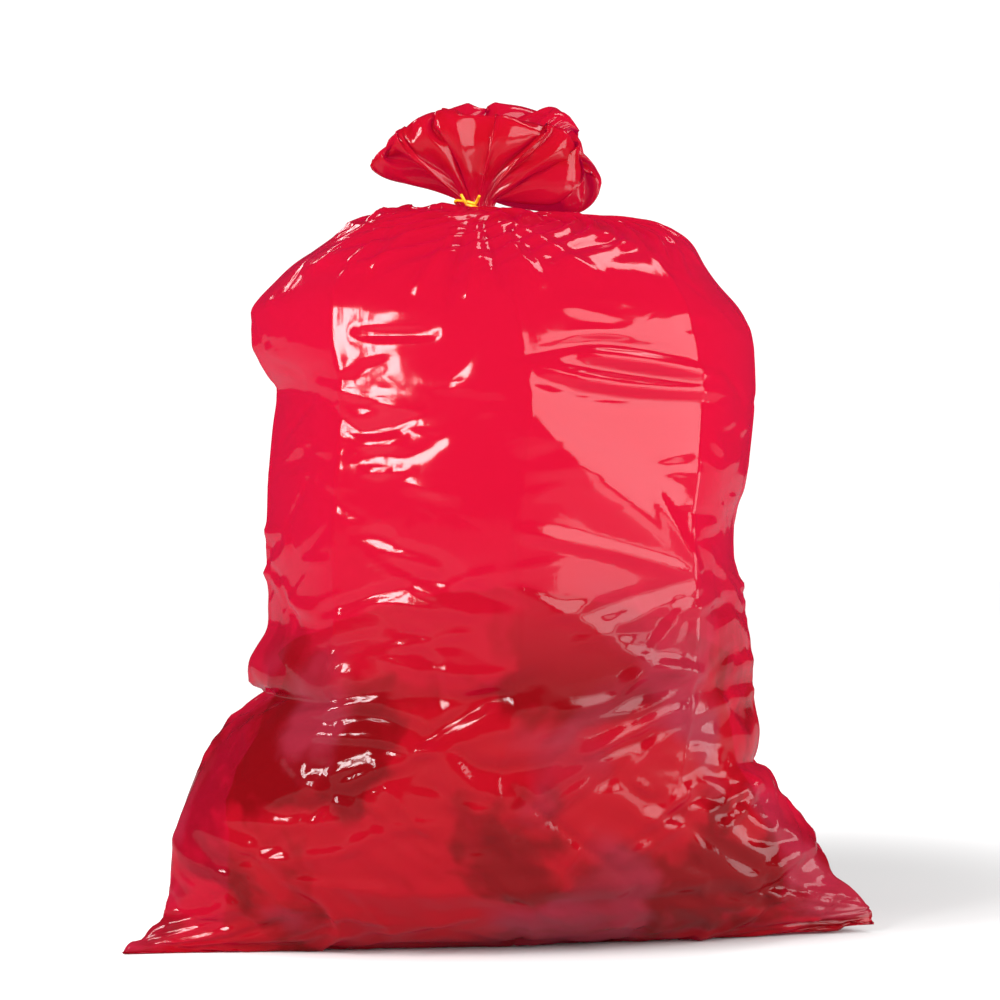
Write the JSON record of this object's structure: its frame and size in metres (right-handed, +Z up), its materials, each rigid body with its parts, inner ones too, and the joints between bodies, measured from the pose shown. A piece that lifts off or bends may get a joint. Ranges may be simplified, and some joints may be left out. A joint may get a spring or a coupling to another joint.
{
  "type": "filled garbage bag",
  "caption": "Filled household garbage bag of translucent red film, standing on the floor, gathered and tied at the neck under a flared tuft.",
  "frame": {"origin": "on the floor, under the middle of the bag's box", "axes": "+Z up along the bag's height, X along the bag's width, front towards -Y"},
  "size_m": [0.6704, 0.4186, 0.76],
  "materials": {
    "film": "glossy translucent film",
    "waste": "mixed, matte",
    "tie": "satin"
  },
  "bodies": {
    "root": {"film_bag": "film", "waste_filling": "waste", "neck_tie": "tie"}
  },
  "joints": []
}
